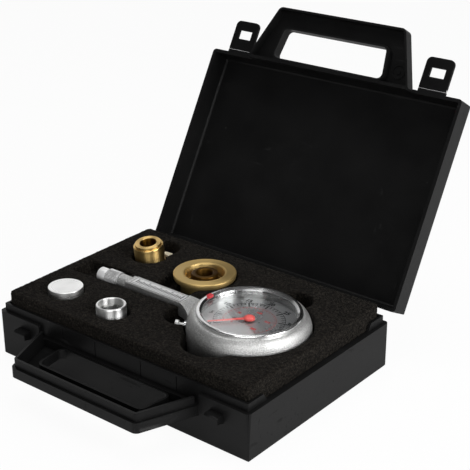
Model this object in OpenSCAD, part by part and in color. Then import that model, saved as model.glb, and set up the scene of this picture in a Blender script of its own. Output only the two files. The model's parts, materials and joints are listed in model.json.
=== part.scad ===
// Pressure tester kit: a dial gauge with connector arm and four adaptors,
// lying in die-cut foam in a moulded case with a split carrying handle.
// Millimetres. X to the right, Y to the back, Z up. The origin is the middle of the case's underside.

/* [Case] */
// Outside width of the case
case_w = 231; // [226:1:260]
// Outside depth of the case without its handle
case_d = 159.5; // [155:0.5:190]
// Height of the base up to its rim
base_h = 36; // [34:0.5:40]
// Height of the lid above the rim
lid_h = 20; // [19.5:0.5:34]
// Thickness of the moulded walls
wall = 2.6; // [2:0.1:2.8]
// Rounding of the lid's top edges
edge_r = 4.5; // [3:0.5:6]
// Rounding of the base's bottom edges
base_edge_r = 2.5; // [1:0.5:5]
// Corner radius seen from above
corner_r = 3; // [2:0.5:8]
// Inward lean of each wall over its height
draft = 0.8; // [0:0.1:1.2]
// Height of the tongue above the rim
tongue_h = 5.5; // [3:0.5:6]
// Thickness of the tongue
tongue_t = 1.8; // [1.4:0.1:2]
// Gap between the tongue and the lid wall
tongue_gap = 0.4; // [0.3:0.05:0.6]
// Gap between the rims of lid and base
rim_gap = 0.2; // [0.1:0.05:0.5]
// Drop of the parting line along the handle
skirt_drop = 8; // [6:0.5:8]
// Opening angle of the lid
lid_open = 119.5; // [95:0.5:125]

/* [Handle] */
// Width of the handle at the case
handle_root_w = 147.5; // [140:0.5:152]
// Width of the handle at its bar
handle_bar_w = 115.5; // [112:0.5:130]
// Reach of the handle in front of the case
handle_reach = 41.5; // [40:0.25:50]
// Depth of the bar
bar_depth = 16.5; // [14:0.5:18]
// Width of the finger hole at the bar
grip_w = 94; // [80:1:96]
// Extra width of the finger hole at the case
grip_flare = 7; // [0:0.5:8]
// Distance of the finger hole from the case
grip_gap = 1.2; // [1:0.1:5]
// Height of the lower handle half above the ground
handle_z = 20; // [19:0.5:21]
// Height of the lower half's outer wall
handle_low_h = 7.5; // [6:0.25:7.5]
// Height of the lower half's inner tongue above that wall
handle_tongue_h = 6; // [3:0.5:6]
// Height of the upper handle half
handle_up_h = 8.5; // [8:0.25:10]
// Thickness of the handle's walls and skins
handle_t = 1.7; // [1.4:0.1:1.8]
// Gap between the handle halves
handle_gap = 0.8; // [0.5:0.1:1]
// Corner radius of the handle
handle_r = 4.5; // [4.3:0.1:6]

/* [Latches and hinges] */
// Width of a latch
latch_w = 23; // [20:0.5:24]
// Length of a latch from its fold
latch_l = 22.9; // [20:0.1:24]
// Distance of a latch from the handle
latch_gap = 4; // [3:0.25:6]
// Thickness of a latch
latch_t = 2; // [1.6:0.1:2.2]
// Width of the hole in a latch
latch_hole_w = 12.5; // [11:0.5:14]
// Length of the hole in a latch
latch_hole_l = 7.2; // [6:0.1:8]
// Distance of that hole from the fold
latch_hole_at = 8.1; // [7.5:0.1:9]
// Distance of the fold from the case
fold_out = 3.6; // [3.4:0.05:5]
// Height of the fold above the rim
fold_up = 1.5; // [1.4:0.1:2.5]
// Room between a catch and the hole round it
catch_gap = 0.75; // [0.6:0.05:1]
// Gap in a folding hinge
fold_gap = 0.3; // [0.3:0.05:0.5]
// Distance of each hinge from the middle
hinge_x = 70; // [50:1:85]
// Distance of the hinge axis behind the case
hinge_out = 4.55; // [4.4:0.05:6]
// Height of the hinge axis above the rim
hinge_up = 0.4; // [0:0.1:0.6]
// Radius of hinge ears and knuckles
knuckle_r = 3.9; // [3.2:0.1:4]
// Width of the lid's hinge knuckle
knuckle_w = 18; // [12:1:24]
// Width of each hinge ear on the base
ear_w = 6; // [4:0.5:9]
// Gap between knuckle and ear
ear_gap = 0.4; // [0.3:0.05:0.6]
// Radius of a hinge pin
pin_r = 1.5; // [1:0.1:2]
// Radial running clearance of pins and arbors
run_fit = 0.05; // [0.03:0.01:0.08]
// Radial clearance of pieces fixed in a hole
seat_fit = 0.02; // [0.01:0.01:0.04]

/* [Foam] */
// Height of the foam above the rim
foam_up = 14.8; // [12:0.2:16]
// Thickness of the plain foam at the bottom
pad_t = 17.5; // [16.5:0.5:18]
// Gap between foam and case
foam_gap = 0.6; // [0.4:0.1:1.5]
// Room round a piece in its pocket
pocket_gap = 0.7; // [0.5:0.1:1.2]
// Gap under a piece in its pocket
rest_gap = 0.2; // [0.1:0.05:0.3]
// Radius of the finger notch in front of the gauge
front_notch_r = 22; // [20:0.5:24]
// Radius of the finger notches beside the gauge
notch_r = 14; // [12:0.5:15]
// Depth of the finger notches
notch_depth = 22; // [15:1:24]

/* [Gauge] */
// Place of the gauge from left to right
gauge_x = 56.5; // [55:0.5:58]
// Place of the gauge from front to back
gauge_y = -6.3; // [-7.5:0.1:-5]
// Lean of the gauge in its pocket, arm end up
gauge_tilt = 1.9; // [1:0.1:3]
// Turn of the gauge in its pocket
gauge_yaw = 2; // [1:0.5:3]
// Radius of the seat of the dial
dial_seat_r = 34.5; // [34:0.1:35.2]
// Height of the gauge from underside to bezel
gauge_h = 36; // [35.6:0.2:38]
// Thickness of the body's floor
floor_t = 3; // [2:0.25:3]
// Width of the ledges that carry dial and lens
ledge = 1.7; // [1.3:0.1:1.8]
// Width of the rim round the bezel
rim_w = 1.7; // [1.2:0.1:2]
// Bulge of the body beyond that rim
bulge = 5; // [4.5:0.1:6]
// Thickness of the dial
dial_t = 1; // [0.6:0.1:1.2]
// Thickness of the lens
lens_t = 2; // [1.5:0.1:2]
// Thickness of the lens gasket
gasket_t = 0.8; // [0.5:0.1:1]
// Width of the bezel's top
bezel_w = 3.9; // [3.2:0.1:4.4]
// Height of the bezel above the lens
bezel_h = 2.2; // [1.8:0.1:2.6]
// Length of the pointer from its axis
pointer_l = 29; // [24:0.5:30]
// Radius of the pointer's hub
hub_r = 3.9; // [3:0.1:5]
// Bearing of the pointer at rest
pointer_at = 228; // [215:1:235]

/* [Arm] */
// Height of the arm's axis in the gauge
arm_z = 20.2; // [19.5:0.1:21]
// Width of the arm
arm_w = 13; // [12:0.1:13.6]
// Height of the arm
arm_h = 11; // [10:0.1:11.6]
// Spread of the neck's front side at the body
neck_flare = 10.5; // [8:0.1:11]
// Fall of the neck's top toward the body
neck_drop = 3; // [2:0.25:3]
// Rise of the neck's underside toward the body
neck_rise = 3.5; // [2:0.25:3.5]
// Length of the neck outside the body
neck_l = 13.6; // [10:0.2:14]
// Length of the labelled bar
bar_l = 49.5; // [44:0.5:52]
// Length of the collar
collar_l = 10; // [7:0.5:11]
// Radius of the collar
collar_r = 5.9; // [5.6:0.1:6.2]
// Length of the groove before the nut
groove_l = 1.2; // [0.8:0.1:1.6]
// Length of the knurled nut
nut_l = 11; // [8:0.2:12]
// Radius of the knurled nut
nut_r = 6.5; // [6.4:0.1:7]
// Number of ridges on the nut
nut_ridges = 40; // [30:1:48]
// Length of the bright nose
tip_l = 7.9; // [5:0.1:9]
// Radius of the bright nose
tip_r = 5.5; // [5.2:0.1:5.6]
// Radius of the stem in the nut
stem_r = 4.5; // [4:0.1:4.8]
// Radius of the air passage
air_r = 1.5; // [1:0.1:1.8]
// Thickness of the label
label_t = 0.5; // [0.3:0.1:0.8]
// Gap between the nut and the nose
nose_gap = 0.6; // [0.4:0.1:1]

/* [Movement] */
// Tooth size as pitch diameter over tooth count
gear_m = 0.5; // [0.48:0.01:0.52]
// Teeth of the pinion
pinion_n = 16; // [16:2:16]
// Teeth of a full wheel of the sector's size
sector_n = 80; // [80:2:80]
// Sweep of the pointer
sweep = 270; // [240:5:270]
// Play between the teeth
backlash = 0.2; // [0.16:0.02:0.24]
// Radius of the gear arbors
arbor_r = 1; // [0.8:0.05:1.1]
// Height of the movement above the body's floor
movement_up = 13.5; // [13.3:0.1:13.9]
// Thickness of the movement's plates
plate_t = 1.5; // [1.2:0.1:1.5]
// Room between the movement's plates
plate_gap = 4.5; // [4.5:0.1:4.7]
// Mean radius of the curved pressure tube
tube_r = 25; // [24:0.2:25.6]
// Height of the pressure tube's section
tube_h = 8; // [6:0.5:8.5]
// Width of the pressure tube's section
tube_w = 4; // [3:0.2:4.4]
// Distance of the link's pin from the sector's axis
crank_r = 4; // [3.6:0.1:4.2]

/* [Release button] */
// Bearing of the button from the gauge's axis
button_at = 207; // [203:1:211]
// Height of the button in the gauge
button_z = 19.5; // [18:0.5:21]
// Radius of the button's head
button_r = 2.9; // [2.4:0.05:3]
// Length of the button's head
button_l = 2.5; // [2:0.25:4]
// Travel of the button
button_travel = 3; // [2:0.25:3]
// Radius of the button's stem
button_stem_r = 1.2; // [1:0.05:1.3]
// Radius of the spring's chamber
chamber_r = 2.7; // [2.5:0.05:2.9]
// Length of the spring at rest
spring_l = 5; // [4.5:0.1:5.2]
// Turns of the spring
spring_turns = 4; // [3:1:4]
// Thickness of the spring wire
spring_wire = 0.4; // [0.3:0.05:0.45]

/* [Adaptors] */
// Radius of the brass flange
flange_r = 23.5; // [22:0.1:24]
// Thickness of the brass flange
flange_t = 4; // [3:0.25:4.5]
// Height of the brass adaptor
flange_h = 22; // [18:0.5:24]
// Radius of the brass adaptor's body
flange_body_r = 18.2; // [17.6:0.1:19.5]
// Radius of the brass adaptor's recess
recess_r = 14.9; // [13:0.1:15.5]
// Depth of that recess
recess_d = 9; // [7:0.5:11]
// Radius of the boss in the recess
boss_r = 10; // [9:0.1:11]
// Distance of that boss below the flange's top
boss_drop = 0.4; // [0.2:0.1:4]
// Radius of the brass adaptor's bore
flange_bore_r = 6; // [4:0.1:6.5]
// Radius of the plug
plug_r = 12.7; // [12:0.1:13.5]
// Height of the plug
plug_h = 20; // [16:0.5:24]
// Radius of the bush
bush_r = 10.7; // [10:0.1:11.5]
// Height of the bush
bush_h = 19.5; // [16:0.5:22]
// Radius of the bush's mouth
bush_mouth_r = 8.6; // [8:0.1:9]
// Radius of the bush's bore
bush_bore_r = 5.6; // [5:0.1:6]
// Radius of the brass fitting
fitting_r = 11.5; // [10.8:0.1:12]
// Height of the brass fitting
fitting_h = 19.5; // [16:0.5:21]
// Radius of the ring on the fitting's top
fitting_top_r = 10.2; // [9.6:0.1:10.6]
// Height of that ring
fitting_top_h = 1.8; // [1.2:0.1:2.5]
// Radius of the brass fitting's bore
fitting_bore_r = 6.2; // [5.6:0.1:7.5]
// Lean of the brass fitting in its pocket
fitting_lean = 8; // [6:0.5:9]
// Radius of the washer
washer_r = 11.8; // [11:0.1:12.4]
// Thickness of the washer
washer_t = 1.8; // [1.2:0.1:1.9]
// Radius of the washer's hole
washer_hole_r = 7; // [6:0.1:8]

/* [Hidden] */
$fn = 64;

// Case: places of rim, tongue, parting line, hinge and latch
front = -case_d / 2;
back = case_d / 2;
tongue_in = wall + tongue_gap;
tongue_out = tongue_in + tongue_t;
tongue_foot = base_h - skirt_drop - 2;
lid_top = base_h + lid_h;
parting = base_h - skirt_drop;
side_tongue = 18.5;
tongue_ramp = 4;
rear_tongue = 16;
hinge_y = back + hinge_out;
hinge_z = base_h + hinge_up;
latch_x = handle_root_w / 2 + latch_gap + latch_w / 2;
fold_y = front - fold_out;
fold_z = base_h + fold_up;
handle_split = handle_z + handle_low_h;
handle_top = handle_split + handle_gap + handle_up_h;
bar_y = front - handle_reach;
mark_xy = [handle_bar_w / 2 + 1.3, front - 10.2];
mark_r = 5.6;
mark_w = 1;
mark_up = 0.7;

// Foam: block size, top, and floors of the pockets
foam_w = case_w - 2 * (tongue_out + foam_gap);
foam_d = case_d - 2 * (tongue_out + foam_gap);
pad_z = wall + 0.3;
foam_z = pad_z + pad_t;
foam_top = base_h + foam_up;
arm_slot_depth = 10;
arm_end_room = 21;
fitting_floor = foam_top - 9.8;

// Gauge: heights and radii in its own frame, whose origin is the middle of its underside
cavity_r = dial_seat_r - ledge;
lens_r = dial_seat_r + 1.2;
lens_seat_r = lens_r + 0.1;
bezel_r = dial_seat_r + 2.2;
bezel_seat_r = bezel_r + seat_fit;
shoulder_r = bezel_seat_r + rim_w;
body_r = shoulder_r + bulge;
foot_r = body_r - 1.5;
foot_flat_r = foot_r - 3;
lens_z = gauge_h - bezel_h - lens_t;
lens_seat_z = lens_z - gasket_t;
bezel_seat_z = lens_z + 0.6;
body_top_z = lens_z + lens_t - 0.2;
dial_z = lens_seat_z - 5;
gauge_z = foam_top + 10.7 - gauge_h * cos(gauge_tilt);
gauge_floor = gauge_z - foot_flat_r * sin(gauge_tilt) - rest_gap;

// Arm: distances from the gauge's axis
neck_root = body_r - 4;
neck_end = body_r + neck_l;
bar_end = neck_end + bar_l;
collar_end = bar_end + collar_l;
nut_at = collar_end + groove_l;
nut_end = nut_at + nut_l;
tip_at = nut_end + nose_gap;
tip_end = tip_at + tip_l;
arm_ease = 0.6;
slant_w = 1.6;
slant_h = 3;

// Movement: axes, heights and the link between tube tip and sector
pinion_r = gear_m * pinion_n / 2;
sector_r = gear_m * sector_n / 2;
axis_gap = pinion_r + sector_r;
sector_turn = sweep * pinion_n / sector_n;
plate_z = floor_t + movement_up;
gear_z = plate_z + plate_t + 1;
gear_t = 1.4;
upper_z = plate_z + plate_t + plate_gap;
link_z = gear_z + gear_t + 0.3;
link_t = 0.8;
tip_bearing = 123;
tip_at_xy = tube_r * [cos(tip_bearing), sin(tip_bearing)];
sector_xy = [-axis_gap, 0];
link_gap = norm(tip_at_xy - sector_xy);
link_bearing = atan2(tip_at_xy.y - sector_xy.y, tip_at_xy.x - sector_xy.x)
    + asin(crank_r * cos(sector_turn / 2) / link_gap);
crank_at = link_bearing - 90 - sector_turn / 2;
crank_xy = sector_xy + crank_r * [cos(crank_at), sin(crank_at)];
crank_pin_r = 0.8;
link_travel = 2 * crank_r * sin(sector_turn / 2);
crank_rise = crank_r * (1 - cos(sector_turn / 2));
pillar_xy = [[-axis_gap - 4.2, 4.6], [-axis_gap - 4.2, -4.6], [10.5, 0]];
pillar_r = 1.8;
socket_front = -axis_gap + 5;
tube_z = floor_t + 3 + tube_h / 2;
tube_start = 180 + asin(6.5 / tube_r) - 6;

// Release button: distances from the gauge's axis
bush_at = body_r - 3;
bush_end = body_r + 1.6;
head_at = bush_end + button_travel + 1;
head_end = head_at + button_l;
spring_end = bush_at - 0.7;
chamber_end = spring_end - spring_l;

// Adaptors: places in the foam
flange_xy = [-16, 33.2];
flange_z = foam_top + 3.2 - flange_h;
plug_xy = [-78, -48.5];
plug_z = foam_top + 4 - plug_h;
bush_xy = [-30, -50.8];
bush_z = foam_top + 5.5 - bush_h;
fitting_xy = [-72.9, 36.1];
fitting_z = fitting_floor + rest_gap + fitting_r * sin(fitting_lean);
washer_xy = [-75.5, 49.5];

// Points of an arc about c from bearing a to bearing b
function arc(c, r, a, b, n = 8) = [for (k = [0 : n]) c + r * [cos(a + (b - a) * k / n), sin(a + (b - a) * k / n)]];

function unit(v) = v / norm(v);

function turn(v, a) = [v.x * cos(a) - v.y * sin(a), v.x * sin(a) + v.y * cos(a)];

// Points of one rounded corner at b, between its neighbours a and c
function corner(a, b, c, r, n) =
    let (u = unit(a - b), v = unit(c - b), h = acos(u * v) / 2)
    let (mid = b + unit(u + v) * r / sin(h), s = b + u * r / tan(h) - mid)
    let (side = sign(u.x * v.y - u.y * v.x))
    [for (k = [0 : n]) mid + turn(s, -side * k * (180 - 2 * h) / n)];

// An outline with round corners; radii holds one radius per point, 0 for a sharp one
function rounded(pts, radii, n = 6) = [for (i = [0 : len(pts) - 1])
    each radii[i] > 0
        ? corner(pts[(i + len(pts) - 1) % len(pts)], pts[i], pts[(i + 1) % len(pts)], radii[i], n)
        : [pts[i]]];

function box(w, d, r) = rounded([[-w / 2, -d / 2], [w / 2, -d / 2], [w / 2, d / 2], [-w / 2, d / 2]], [r, r, r, r]);

// Angle between tooth middle and flank at radius r, for an involute tooth
function involute(a) = tan(a) * 180 / PI - a;
function flank(n, r) =
    let (rp = gear_m * n / 2, rb = rp * cos(25), t = gear_m * PI / 2 - backlash / 2)
    t / (2 * rp) * 180 / PI + involute(25) - involute(acos(min(1, rb / r)));

// Points of one tooth at bearing a on a wheel of n teeth
function tooth(n, a) =
    let (rp = gear_m * n / 2, radii = [for (k = [0 : 4]) rp + gear_m * (-1.25 + 2.2 * k / 4)])
    concat([for (r = radii) r * [cos(a - flank(n, r)), sin(a - flank(n, r))]],
        [for (k = [4 : -1 : 0]) radii[k] * [cos(a + flank(n, radii[k])), sin(a + flank(n, radii[k]))]]);

// Section of a case half: inset a and rounding ra at height z0, inset b and rounding rb at height z1
function profile(half, z0, a, ra, z1, b, rb) =
    rounded([[a - half, z0], [half - a, z0], [half - b, z1], [b - half, z1]], [ra, ra, rb, rb]);

// A box that lies i inside the case, with leaning sides and rounded edges
module case_form(i, z0, a, ra, z1, b, rb) {
    intersection() {
        translate([-case_w, 0, 0]) rotate([90, 0, 90]) linear_extrude(2 * case_w)
            polygon(profile(case_d / 2 - i, z0, a, ra, z1, b, rb));
        translate([0, case_d, 0]) rotate([90, 0, 0]) linear_extrude(2 * case_d)
            polygon(profile(case_w / 2 - i, z0, a, ra, z1, b, rb));
        translate([0, 0, z0 - 1]) linear_extrude(z1 - z0 + 2) case_outline(i);
    }
}

// Outline of the case seen from above, drawn in by i
module case_outline(i) {
    polygon(box(case_w - 2 * i, case_d - 2 * i, max(0.5, corner_r - i)));
}

// A ring of wall from inset a to inset b, between two heights
module case_ring(a, b, z0, z1) {
    translate([0, 0, z0]) linear_extrude(z1 - z0) difference() {
        case_outline(a);
        case_outline(b);
    }
}

// A box from corner a to corner b
module block(a, b) {
    translate(a) cube(b - a);
}

// Handle outline, drawn in by i, ending at y = root
module handle_outline(i, root) {
    slope = (handle_root_w - handle_bar_w) / 2 / handle_reach;
    side = i * sqrt(1 + slope * slope);
    half_root = handle_root_w / 2 - side + slope * (root - front);
    half_bar = handle_bar_w / 2 - side + slope * i;
    r = handle_r - i;
    polygon(rounded([[-half_root, root], [-half_bar, bar_y + i], [half_bar, bar_y + i], [half_root, root]],
        [0, r, r, 0]));
}

// Finger hole, grown by e
module grip_outline(e) {
    half_bar = grip_w / 2 + e;
    half_root = half_bar + grip_flare / 2;
    y0 = bar_y + bar_depth - e;
    y1 = front - grip_gap + e;
    r = 4 + e;
    polygon(rounded([[-half_bar, y0], [half_bar, y0], [half_root, y1], [-half_root, y1]], [r, r, r, r]));
}

// Walls of a handle half between heights z0 and z1, from inset a to inset b
module handle_wall(a, b, z0, z1, root) {
    translate([0, 0, z0]) linear_extrude(z1 - z0) difference() {
        handle_outline(a, root);
        handle_outline(b, root);
    }
}

module grip_wall(z0, z1) {
    translate([0, 0, z0]) linear_extrude(z1 - z0) difference() {
        grip_outline(handle_t);
        grip_outline(0);
    }
}

module handle_skin(z0, z1) {
    translate([0, 0, z0]) linear_extrude(z1 - z0) difference() {
        handle_outline(0, front + wall / 2);
        grip_outline(0);
    }
}

module lower_handle() {
    handle_skin(handle_z, handle_z + handle_t);
    handle_wall(0, handle_t + fold_gap, handle_z, handle_split, front + wall / 2);
    handle_wall(handle_t + fold_gap, 2 * handle_t + fold_gap, handle_z, handle_split, front + wall / 2);
    handle_wall(handle_t + fold_gap, 2 * handle_t + fold_gap, handle_split, handle_split + handle_tongue_h,
        front - tongue_gap);
    grip_wall(handle_z, handle_split - 0.5);
}

module upper_handle() {
    low = handle_split + handle_gap;
    handle_skin(handle_top - handle_t, handle_top);
    handle_wall(0, handle_t, low, handle_top, front + wall / 2);
    grip_wall(low, handle_top);
    translate([mark_xy.x, mark_xy.y, handle_top - handle_t - mark_up]) {
        difference() {
            cylinder(r = mark_r, h = mark_up + handle_t / 2);
            translate([0, 0, -1]) cylinder(r = mark_r - mark_w, h = mark_up + 1);
        }
        cylinder(r = mark_r / 3, h = mark_up + handle_t / 2);
    }
}

// Hook that a latch folds over
module catch() {
    z0 = fold_z - latch_hole_at - latch_hole_l + catch_gap;
    z1 = fold_z - latch_hole_at - catch_gap;
    tip = fold_y - latch_t / 2 - 1.3;
    root = front + wall / 2;
    w = latch_hole_w - 2 * catch_gap;
    translate([-w / 2, 0, 0]) rotate([90, 0, 90]) linear_extrude(w)
        polygon([[root, z0 - 1], [tip, z0 + 0.8], [tip, z1 - 1.4], [tip + 1, z1], [root, z1]]);
}

module hinge_ears() {
    for (sx = [-1, 1], sy = [-1, 1]) {
        x = sx * hinge_x + sy * (knuckle_w / 2 + ear_gap + ear_w / 2);
        translate([x - ear_w / 2, 0, 0]) {
            translate([0, hinge_y, hinge_z]) rotate([0, 90, 0]) cylinder(r = knuckle_r, h = ear_w);
            rotate([90, 0, 90]) linear_extrude(ear_w)
                polygon([[back - wall / 2, base_h - 14], [hinge_y + knuckle_r * 0.8, hinge_z - knuckle_r * 0.6],
                    [hinge_y, base_h - 0.5], [back - wall / 2, base_h - 0.5]]);
        }
    }
}

module base_shell() {
    far = case_w;
    rim_cut = 0.8;
    color("#26272a") difference() {
        union() {
            difference() {
                case_form(0, 0, draft, base_edge_r, base_h, 0, 0);
                case_form(wall, wall, draft, 1, base_h + 1, 0, 0);
            }
            case_ring(wall / 2, tongue_out, tongue_foot, base_h);
            case_ring(tongue_in, tongue_out, tongue_foot, base_h + tongue_h);
            lower_handle();
            for (s = [-1, 1]) translate([s * latch_x, 0, 0]) catch();
            hinge_ears();
        }
        block([-handle_root_w / 2 - rim_cut, front - 0.01, parting],
            [handle_root_w / 2 + rim_cut, front + tongue_in, base_h + 0.01]);
        for (s = [-1, 1]) translate([s * case_w / 2 - tongue_out - 1, 0, base_h]) rotate([90, 0, 90])
            linear_extrude(2 * tongue_out + 2) polygon([[front + side_tongue + tongue_ramp, 0],
                [back - side_tongue - tongue_ramp, 0], [back - side_tongue, tongue_h + 0.1],
                [front + side_tongue, tongue_h + 0.1]]);
        block([-case_w / 2 + rear_tongue, 0, base_h], [case_w / 2 - rear_tongue, back, base_h + tongue_h + 1]);
        for (x = [-0.36, -0.144, 0.144, 0.36] * handle_root_w)
            block([x - 0.4, front, parting], [x + 0.4, front + tongue_in + 0.5, base_h + tongue_h - 1.5]);
        translate([-far / 2, hinge_y, hinge_z]) rotate([0, 90, 0]) cylinder(r = pin_r + seat_fit, h = far);
    }
}

// Places what is drawn as on the shut lid onto the open lid
module on_lid() {
    translate([0, hinge_y, hinge_z]) rotate([-lid_open, 0, 0]) translate([0, -hinge_y, -hinge_z]) children();
}

module lid_knuckles() {
    for (s = [-1, 1]) translate([s * hinge_x - knuckle_w / 2, 0, 0]) {
        translate([0, hinge_y, hinge_z]) rotate([0, 90, 0]) cylinder(r = knuckle_r, h = knuckle_w);
        rotate([90, 0, 90]) linear_extrude(knuckle_w)
            polygon([[back - wall / 2, hinge_z + 0.6], [hinge_y, hinge_z + 0.6],
                [hinge_y + knuckle_r * 0.6, hinge_z + knuckle_r * 0.8], [back - wall / 2, hinge_z + knuckle_r + 6]]);
    }
}

// Short root that carries a latch
module latch_root() {
    block([-latch_w / 2, fold_y + latch_t / 2 + fold_gap, fold_z - latch_t / 2],
        [latch_w / 2, front + wall / 2, fold_z + latch_t / 2]);
}

module lid_shell() {
    color("#26272a") on_lid() difference() {
        union() {
            difference() {
                case_form(0, base_h + rim_gap, 0, 0, lid_top, draft, edge_r);
                case_form(wall, base_h + rim_gap - 1, 0, 0, lid_top - wall, draft, max(0.5, edge_r - wall));
            }
            block([-handle_root_w / 2 + fold_gap, front, parting + rim_gap],
                [handle_root_w / 2 - fold_gap, front + wall, base_h + rim_gap]);
            upper_handle();
            for (s = [-1, 1]) translate([s * latch_x, 0, 0]) latch_root();
            lid_knuckles();
        }
        translate([-case_w / 2, hinge_y, hinge_z]) rotate([0, 90, 0]) cylinder(r = pin_r + run_fit, h = case_w);
    }
}

module hinge_pins() {
    l = knuckle_w + 2 * (ear_gap + ear_w);
    color("silver") for (s = [-1, 1]) translate([s * hinge_x - l / 2, hinge_y, hinge_z])
        rotate([0, 90, 0]) cylinder(r = pin_r, h = l);
}

module latch(s) {
    outer = fold_y - latch_l;
    hole_near = fold_y - latch_hole_at;
    color("#2b2c2f") on_lid() translate([s * latch_x, 0, fold_z]) {
        rotate([0, 90, 0]) translate([0, fold_y, -latch_w / 2]) cylinder(r = latch_t / 2, h = latch_w);
        translate([0, 0, -latch_t / 2]) linear_extrude(latch_t) difference() {
            polygon(rounded([[-latch_w / 2, fold_y], [-latch_w / 2, outer], [latch_w / 2, outer],
                [latch_w / 2, fold_y]], [0, 4, 4, 0]));
            translate([-latch_hole_w / 2, hole_near - latch_hole_l]) square([latch_hole_w, latch_hole_l]);
        }
    }
}

module latch_left() latch(-1);

module latch_right() latch(1);

module foam_pad() {
    color("#24211e") translate([0, 0, pad_z]) linear_extrude(pad_t) polygon(box(foam_w - 4, foam_d - 4, 4));
}

// Cuts a round pocket of radius r at xy down to height z
module pocket(xy, r, z) {
    translate([xy.x, xy.y, z]) cylinder(r = r, h = foam_top + 1 - z);
}

module foam_insert() {
    arm_floor = foam_top - arm_slot_depth;
    slot_half = arm_w / 2 + pocket_gap + 0.3;
    slot_end = tip_end + arm_end_room;
    neck_front = arm_w / 2 + neck_flare - 2.6;
    bed_z = foam_top - notch_depth;
    button = [gauge_x, gauge_y] + head_at * [cos(button_at + gauge_yaw), sin(button_at + gauge_yaw)];
    color("#2a2724") difference() {
        translate([0, 0, foam_z]) linear_extrude(foam_top - foam_z) polygon(box(foam_w, foam_d, 3));
        pocket([gauge_x + gauge_h / 2 * sin(gauge_tilt), gauge_y], body_r + pocket_gap + 0.6, gauge_floor);
        pocket([gauge_x - 3.5, gauge_y - body_r - 12 + front_notch_r], front_notch_r, bed_z);
        pocket([gauge_x + 3.5, gauge_y + body_r + 5], notch_r - 1, bed_z);
        pocket(button + [-0.6, 6.7], notch_r, bed_z + 2);
        translate([gauge_x, gauge_y, 0]) rotate(gauge_yaw) {
            block([-neck_end + 2, -neck_front, arm_floor], [-body_r / 2, slot_half, foam_top + 1]);
            block([-slot_end, -slot_half, arm_floor], [-body_r / 2, slot_half, foam_top + 1]);
            block([-slot_end, 0, arm_floor], [-collar_end, slot_half + 6, foam_top + 1]);
        }
        block([flange_xy.x - flange_r + 1, gauge_y, flange_z + flange_h - flange_t - 9],
            [flange_xy.x + 11, flange_xy.y, foam_top + 1]);
        pocket(flange_xy, flange_r + pocket_gap, flange_z + flange_h - flange_t - 4);
        pocket(flange_xy, flange_body_r + pocket_gap, flange_z - rest_gap);
        pocket(plug_xy, plug_r + pocket_gap, plug_z - rest_gap);
        pocket(bush_xy + [1, 0.6], bush_r + pocket_gap + 1.1, bush_z - rest_gap);
        pocket(fitting_xy - [0, 1.3], fitting_r + pocket_gap + 1.5, fitting_floor);
        pocket(washer_xy + [0.4, 1.2], washer_r + pocket_gap + 1.5, fitting_floor);
        block([washer_xy.x - 10, fitting_xy.y, fitting_floor], [fitting_xy.x + 11, washer_xy.y, foam_top + 1]);
    }
}

// Places what is drawn in the gauge's own frame
module in_gauge() {
    translate([gauge_x, gauge_y, gauge_z]) rotate([0, 0, gauge_yaw]) rotate([0, gauge_tilt, 0]) children();
}

// A rod or bore along the arm, from distance a to distance b
module along_arm(a, b, r) {
    translate([-b, 0, arm_z]) rotate([0, 90, 0]) cylinder(r = r, h = b - a);
}

// A rod or bore along the button's line, from distance a to distance b
module along_button(a, b, r) {
    rotate(button_at) translate([a, 0, button_z]) rotate([0, 90, 0]) cylinder(r = r, h = b - a);
}

module body_section() {
    bulge_z = gauge_h * 0.58;
    rise = body_top_z - bulge_z;
    side = [for (t = [0 : 7.5 : 75]) [shoulder_r - 2 + (bulge + 2) * cos(t), bulge_z + rise * sin(t) / sin(75)]];
    polygon(concat([[0, 0], [foot_flat_r, 0]], arc([foot_flat_r, 3], 3, -72, -24, 4), side,
        [[bezel_seat_r, body_top_z], [bezel_seat_r, bezel_seat_z], [lens_seat_r, bezel_seat_z],
            [lens_seat_r, lens_seat_z], [dial_seat_r, lens_seat_z], [dial_seat_r, dial_z], [cavity_r, dial_z],
            [cavity_r, floor_t], [0, floor_t]]));
}

// Place along the neck, where s runs from 0 at the bar to 1 in the body
function neck_x(s) = -neck_end + (neck_end - neck_root) * s;

// Neck of the arm seen from above, straight at the back and spread at the front
module neck_outline() {
    half = arm_w / 2;
    front_side = [for (s = [0 : 0.125 : 1]) [neck_x(s), -half - neck_flare * pow(s, 1.3)]];
    polygon(concat(front_side, [[neck_x(1), half], [neck_x(0), half]]));
}

// Neck of the arm seen from the side, above and below the arm's axis
module neck_side() {
    half = arm_h / 2;
    top = [for (s = [0 : 0.125 : 1]) [neck_x(s), half - neck_drop * (1 - sqrt(1 - s * s))]];
    under = [for (s = [1 : -0.125 : 0]) [neck_x(s), -half + neck_rise * s]];
    polygon(concat(top, under));
}

// Cross-section of the bar, with its back edge cut at a slant
module arm_section() {
    w = arm_w / 2;
    h = arm_h / 2;
    polygon([[-w, -h + 2], [-w + 2, -h], [w - 2, -h], [w, -h + 2], [w, h - arm_ease], [w - arm_ease, h],
        [-w + slant_w, h], [-w, h - slant_h]]);
}

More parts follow.
